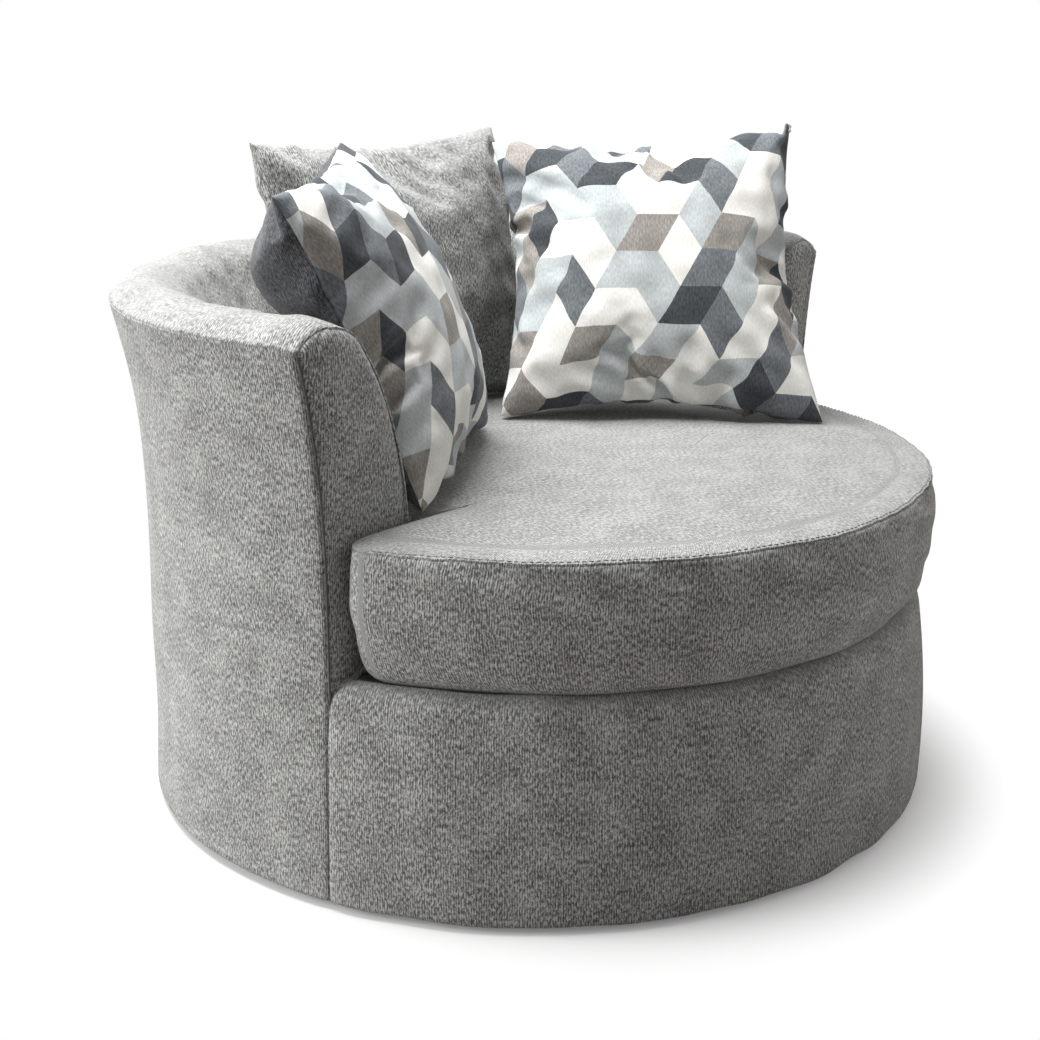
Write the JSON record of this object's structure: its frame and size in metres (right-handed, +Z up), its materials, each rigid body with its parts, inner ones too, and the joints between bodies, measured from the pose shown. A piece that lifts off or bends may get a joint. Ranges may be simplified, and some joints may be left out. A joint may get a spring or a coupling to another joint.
{
  "type": "swivel barrel chair",
  "caption": "Round upholstered swivel chair with a level barrel wall, a thick loose seat cushion winged in front of the arms, a loose back pillow and loose accent pillows.",
  "frame": {"origin": "on the floor, on the swivel axis, at the middle of the round hem", "axes": "+Z up along the swivel axis, the seat faces -Y, +X towards the arm on the right as the picture sees the chair from its front left"},
  "size_m": [1.22, 1.2222, 0.9448],
  "materials": {
    "chenille": "heathered grey chenille weave",
    "accent_print": "woven geometric pattern",
    "accent_plain": "plain dark weave",
    "deck_fabric": "plain decking cloth",
    "dust_cloth": "non-woven",
    "zip_tape": "woven tape",
    "foam": "open-cell foam",
    "fibre_fill": "loose polyester fibre",
    "plywood": "raw plywood",
    "hardwood": "raw sawn timber",
    "fibreboard": "bent hardboard",
    "steel": "zinc plated",
    "cage_plastic": "natural nylon",
    "glide_plastic": "moulded"
  },
  "bodies": {
    "floor_base": {"floor_glides": "glide_plastic", "floor_platform": "plywood", "lower_race_plate": "steel", "lower_plate_screws": "steel", "pivot_bolt": "steel", "pivot_washer": "steel", "pivot_nut": "steel"},
    "ball_ring": {"ball_cage": "cage_plastic", "race_balls": "steel"},
    "chair": {"upper_race_plate": "steel", "upper_plate_screws": "steel", "pivot_bush": "cage_plastic", "base_board": "plywood", "hem_ring": "plywood", "dust_cover": "dust_cloth", "wall_posts": "hardwood", "front_posts": "hardwood", "corner_blocks": "hardwood", "deck_ring": "plywood", "front_rail": "plywood", "top_rail": "plywood", "arm_front_boards": "plywood", "outside_board": "fibreboard", "apron_panel": "fibreboard", "seat_springs": "steel", "spring_clips": "cage_plastic", "deck_pad": "foam", "deck_cloth": "deck_fabric", "wall_padding": "foam", "inside_cover": "chenille", "outside_cover": "chenille", "left_arm_front": "chenille", "right_arm_front": "chenille", "apron_cover": "chenille"},
    "seat_cushion": {"cushion_top_panel": "chenille", "cushion_boxing": "chenille", "cushion_foam": "foam", "cushion_zip_tape": "zip_tape"},
    "zip_slider": {"zip_slider": "steel"},
    "back_pillow": {"back_pillow_front": "chenille", "back_pillow_back": "chenille", "back_pillow_fill": "fibre_fill"},
    "left_accent_pillow": {"left_accent_front": "accent_print", "left_accent_back": "accent_plain", "left_accent_fill": "fibre_fill"},
    "right_accent_pillow": {"right_accent_front": "accent_print", "right_accent_back": "accent_plain", "right_accent_fill": "fibre_fill"}
  },
  "joints": [
    {"name": "swivel", "type": "hinge", "parent": "floor_base", "child": "chair", "pos_m": [0, 0, 0.0335], "axis": [0, 0, 1], "continuous": true},
    {"name": "ball_roll", "type": "hinge", "parent": "floor_base", "child": "ball_ring", "pos_m": [0, 0, 0.0335], "axis": [0, 0, 1], "continuous": true},
    {"name": "cushion_lift", "type": "slide", "parent": "chair", "child": "seat_cushion", "axis": [0, 0, 1], "range_m": [0, 0.48]},
    {"name": "zip_run", "type": "hinge", "parent": "seat_cushion", "child": "zip_slider", "pos_m": [0, 0, 0.4], "axis": [0, 0, 1], "range_deg": [0, 142]},
    {"name": "back_pillow_lift", "type": "slide", "parent": "seat_cushion", "child": "back_pillow", "axis": [0, 0.2419, 0.9703], "range_m": [0, 0.48]},
    {"name": "left_accent_lift", "type": "slide", "parent": "seat_cushion", "child": "left_accent_pillow", "axis": [0, 0, 1], "range_m": [0, 0.48]},
    {"name": "right_accent_lift", "type": "slide", "parent": "seat_cushion", "child": "right_accent_pillow", "axis": [0, 0, 1], "range_m": [0, 0.48]}
  ],
  "couplings": [
    {"joint": "ball_roll", "follows": "swivel", "ratio": 0.5}
  ]
}
